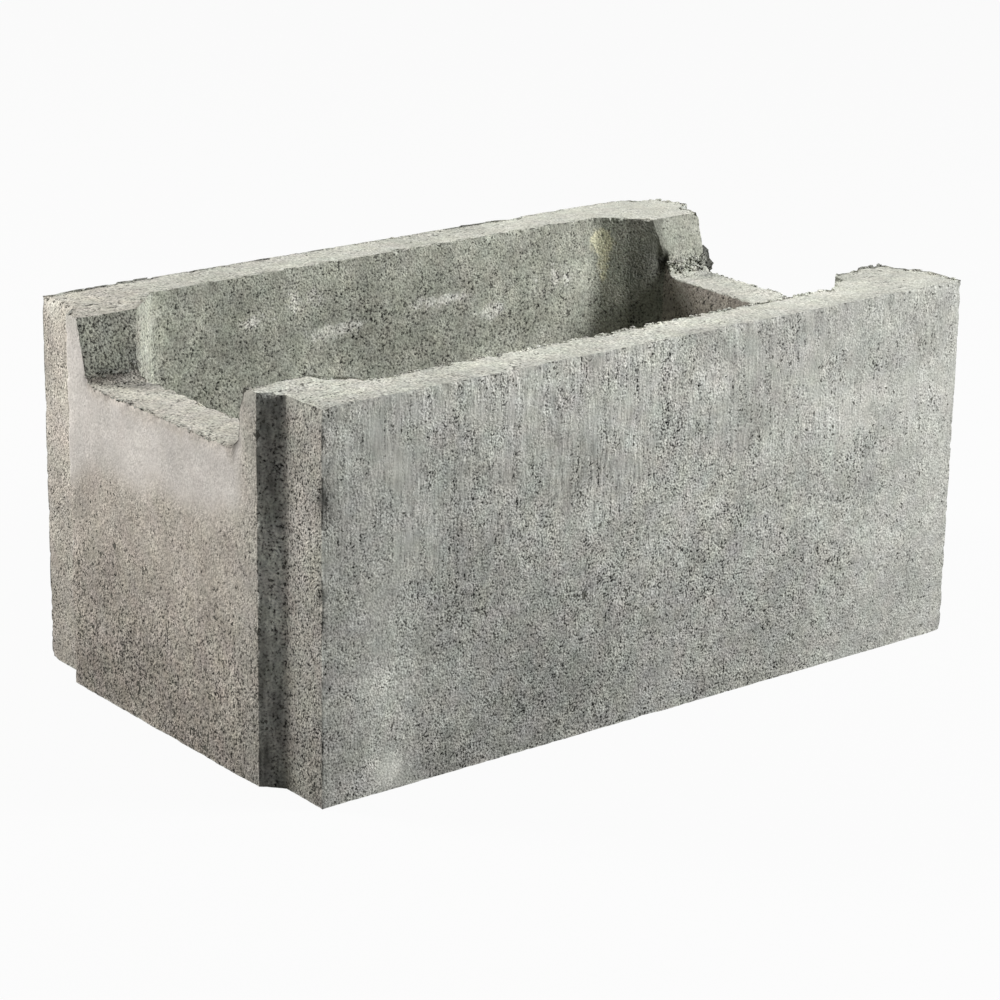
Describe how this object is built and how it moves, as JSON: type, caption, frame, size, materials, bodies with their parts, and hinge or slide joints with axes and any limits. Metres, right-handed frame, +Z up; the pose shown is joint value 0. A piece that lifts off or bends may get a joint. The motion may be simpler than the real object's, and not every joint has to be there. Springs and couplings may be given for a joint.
{
  "type": "concrete formwork block",
  "caption": "Hollow concrete shuttering block, open through its height, with haunched core, saddled end webs, a tongue at one end and a matching groove at the other.",
  "frame": {"origin": "on the bed, under the middle of the whole block, tongue included", "axes": "+X along the length from the tongue end to the groove end, +Y across the width from the front shell to the back shell, +Z up through the core"},
  "size_m": [0.5116, 0.3, 0.24],
  "materials": {
    "concrete": "vibropressed grey concrete, granular and pitted, with paler laitance on the top"
  },
  "bodies": {
    "root": {"formwork_block": "concrete"}
  },
  "joints": []
}
